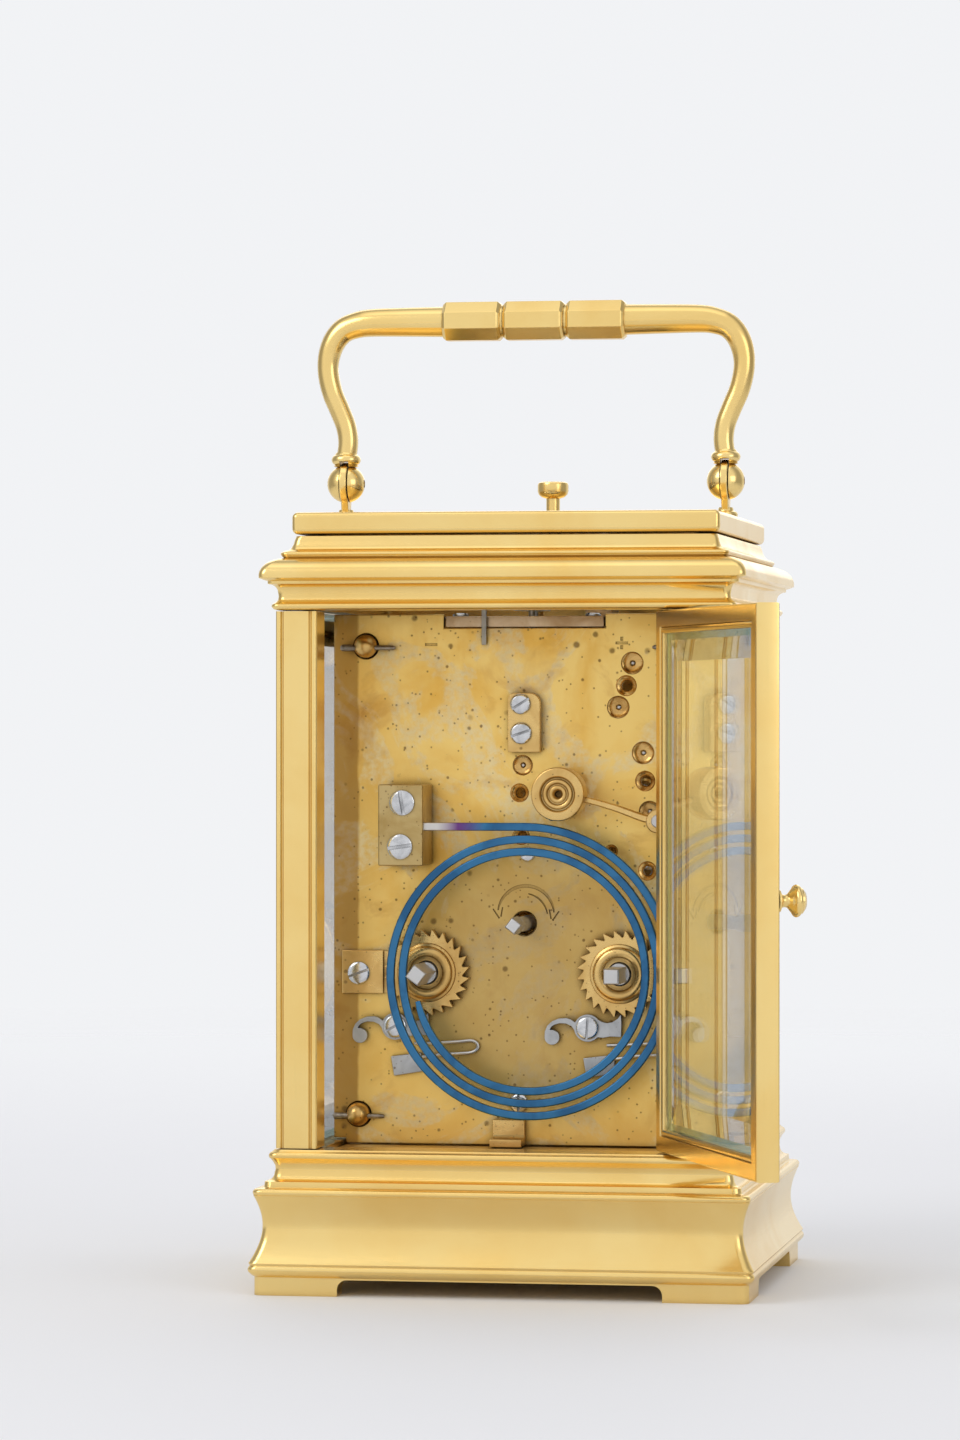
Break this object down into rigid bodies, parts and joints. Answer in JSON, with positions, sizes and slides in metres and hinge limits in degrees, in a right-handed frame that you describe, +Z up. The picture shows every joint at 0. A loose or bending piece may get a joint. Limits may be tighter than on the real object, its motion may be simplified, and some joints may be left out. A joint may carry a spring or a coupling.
{
  "type": "carriage clock",
  "caption": "Brass carriage clock with bevelled glass sides, open rear door, folding handle, wound gong and a full eight-day striking movement inside.",
  "frame": {"origin": "centre of the underside of the base cover plate, which is recessed 3.3 mm above the soles of the feet", "axes": "+Z up, the dial faces -Y, the rear door and the winding squares face +Y"},
  "size_m": [0.1071, 0.1376, 0.182],
  "materials": {
    "case_brass": "polished and lacquered",
    "movement_brass": "old gilt brass, stained and dull",
    "polished_steel": "polished steel",
    "blued_steel": "heat-blued steel",
    "enamel": "white vitreous enamel",
    "bevelled_glass": "clear, bevelled edges"
  },
  "bodies": {
    "case": {"base_plinth": "case_brass", "base_cover": "case_brass", "base_floor": "case_brass", "column_front_left": "case_brass", "column_front_right": "case_brass", "column_rear_left": "case_brass", "column_rear_right": "case_brass", "cornice": "case_brass", "lid_frame": "case_brass", "top_glass": "bevelled_glass", "side_glass_left": "bevelled_glass", "side_glass_right": "bevelled_glass", "front_glass": "bevelled_glass", "handle_lug_left": "case_brass", "handle_lug_right": "case_brass", "front_plate": "movement_brass", "back_plate": "movement_brass", "pillar_top_left": "movement_brass", "pillar_top_right": "movement_brass", "pillar_bottom_left": "movement_brass", "pillar_bottom_right": "movement_brass", "platform_plate": "movement_brass", "balance_cock": "movement_brass", "gong": "blued_steel", "gong_block": "movement_brass", "centre_bridge": "movement_brass", "movement_bracket": "movement_brass", "dial_plate": "enamel", "going_click_spring": "polished_steel", "strike_click_spring": "polished_steel"},
    "handle": {"handle": "case_brass", "handle_pin_left": "polished_steel", "handle_pin_right": "polished_steel"},
    "rear_door": {"rear_door_frame": "case_brass", "rear_door_glass": "bevelled_glass", "rear_door_knob": "case_brass"},
    "repeat_button": {"repeat_button": "case_brass"},
    "going_barrel": {"going_barrel": "movement_brass"},
    "strike_barrel": {"strike_barrel": "movement_brass"},
    "going_winding": {"going_winding_arbor": "polished_steel"},
    "strike_winding": {"strike_winding_arbor": "polished_steel"},
    "going_click": {"going_click": "polished_steel"},
    "strike_click": {"strike_click": "polished_steel"},
    "centre": {"centre_arbor": "polished_steel", "minute_hand": "blued_steel"},
    "hour": {"hour_wheel": "movement_brass", "hour_hand": "blued_steel"},
    "minute_wheel": {"minute_wheel": "movement_brass"},
    "third_wheel": {"third_wheel": "movement_brass"},
    "contrate_wheel": {"contrate_wheel": "movement_brass"},
    "escape_wheel": {"escape_wheel": "polished_steel"},
    "pallet_lever": {"pallet_lever": "polished_steel"},
    "balance": {"balance_wheel": "movement_brass"},
    "regulator": {"regulator_index": "polished_steel"},
    "strike_pin_wheel": {"strike_pin_wheel": "movement_brass"},
    "strike_warning_wheel": {"strike_warning_wheel": "movement_brass"},
    "strike_fly": {"strike_fly": "movement_brass"},
    "hammer": {"hammer": "polished_steel"}
  },
  "joints": [
    {"name": "handle_swing", "type": "hinge", "parent": "case", "child": "handle", "pos_m": [0, 0, 0.1449], "axis": [1, 0, 0], "range_deg": [-90, 90]},
    {"name": "rear_door_hinge", "type": "hinge", "parent": "case", "child": "rear_door", "pos_m": [-0.0304, 0.0355, 0.0716], "axis": [0, 0, 1], "range_deg": [-112.3, 2]},
    {"name": "repeat_press", "type": "slide", "parent": "case", "child": "repeat_button", "axis": [0, 0, -1], "range_m": [0, 0.0025], "stiffness_N_per_m": 200, "springref_m": -0.001},
    {"name": "centre_turn", "type": "hinge", "parent": "case", "child": "centre", "pos_m": [0, 0, 0.063], "axis": [0, 1, 0], "continuous": true},
    {"name": "hour_turn", "type": "hinge", "parent": "case", "child": "hour", "pos_m": [0, -0.03, 0.063], "axis": [0, 1, 0], "continuous": true},
    {"name": "minute_wheel_turn", "type": "hinge", "parent": "case", "child": "minute_wheel", "pos_m": [-0.00707, -0.028, 0.07007], "axis": [0, 1, 0], "continuous": true},
    {"name": "going_barrel_turn", "type": "hinge", "parent": "case", "child": "going_barrel", "pos_m": [0.018, 0, 0.0539], "axis": [0, 1, 0], "continuous": true},
    {"name": "third_turn", "type": "hinge", "parent": "case", "child": "third_wheel", "pos_m": [0.005, 0, 0.08236], "axis": [0, 1, 0], "continuous": true},
    {"name": "contrate_turn", "type": "hinge", "parent": "case", "child": "contrate_wheel", "pos_m": [0, 0, 0.10297], "axis": [0, 1, 0], "continuous": true},
    {"name": "escape_turn", "type": "hinge", "parent": "case", "child": "escape_wheel", "pos_m": [0, 0.0035, 0.115], "axis": [0, 0, 1], "continuous": true},
    {"name": "pallet_swing", "type": "hinge", "parent": "case", "child": "pallet_lever", "pos_m": [0, -0.0013, 0.1212], "axis": [0, 0, 1], "range_deg": [-5, 5]},
    {"name": "balance_swing", "type": "hinge", "parent": "case", "child": "balance", "pos_m": [0, -0.0068, 0.1248], "axis": [0, 0, 1], "range_deg": [-135, 135], "stiffness_Nm_per_rad": 0.000015},
    {"name": "regulator_set", "type": "hinge", "parent": "case", "child": "regulator", "pos_m": [0, -0.0068, 0.1314], "axis": [0, 0, 1], "range_deg": [-2.5, 43.5]},
    {"name": "going_winding_turn", "type": "hinge", "parent": "case", "child": "going_winding", "pos_m": [0.018, 0, 0.0539], "axis": [0, 1, 0], "continuous": true},
    {"name": "strike_winding_turn", "type": "hinge", "parent": "case", "child": "strike_winding", "pos_m": [-0.018, 0, 0.0539], "axis": [0, 1, 0], "continuous": true},
    {"name": "going_click_lift", "type": "hinge", "parent": "case", "child": "going_click", "pos_m": [0.024, 0.0134, 0.0439], "axis": [0, 1, 0], "range_deg": [-10, 0], "stiffness_Nm_per_rad": 0.01, "springref_deg": 1.15},
    {"name": "strike_click_lift", "type": "hinge", "parent": "case", "child": "strike_click", "pos_m": [-0.012, 0.0134, 0.0439], "axis": [0, 1, 0], "range_deg": [-10, 0], "stiffness_Nm_per_rad": 0.01, "springref_deg": 1.15},
    {"name": "strike_pin_turn", "type": "hinge", "parent": "case", "child": "strike_pin_wheel", "pos_m": [-0.022, 0, 0.07367], "axis": [0, 1, 0], "continuous": true},
    {"name": "strike_barrel_turn", "type": "hinge", "parent": "case", "child": "strike_barrel", "pos_m": [-0.018, 0, 0.0539], "axis": [0, 1, 0], "continuous": true},
    {"name": "strike_warning_turn", "type": "hinge", "parent": "case", "child": "strike_warning_wheel", "pos_m": [-0.019, 0, 0.08755], "axis": [0, 1, 0], "continuous": true},
    {"name": "strike_fly_turn", "type": "hinge", "parent": "case", "child": "strike_fly", "pos_m": [-0.0155, 0, 0.09724], "axis": [0, 1, 0], "continuous": true},
    {"name": "hammer_lift", "type": "hinge", "parent": "case", "child": "hammer", "pos_m": [-0.02607, 0.013, 0.0821], "axis": [0, 1, 0], "range_deg": [-14, 1], "stiffness_Nm_per_rad": 0.02, "springref_deg": -1.89}
  ],
  "couplings": [
    {"joint": "hour_turn", "follows": "centre_turn", "ratio": 0.083333},
    {"joint": "minute_wheel_turn", "follows": "centre_turn", "ratio": -0.33333},
    {"joint": "going_barrel_turn", "follows": "centre_turn", "ratio": -0.16667},
    {"joint": "third_turn", "follows": "centre_turn", "ratio": -8},
    {"joint": "contrate_turn", "follows": "centre_turn", "ratio": 60},
    {"joint": "escape_turn", "follows": "centre_turn", "ratio": 600},
    {"joint": "strike_barrel_turn", "follows": "strike_pin_turn", "ratio": -0.16667},
    {"joint": "strike_warning_turn", "follows": "strike_pin_turn", "ratio": -8},
    {"joint": "strike_fly_turn", "follows": "strike_pin_turn", "ratio": 72}
  ]
}
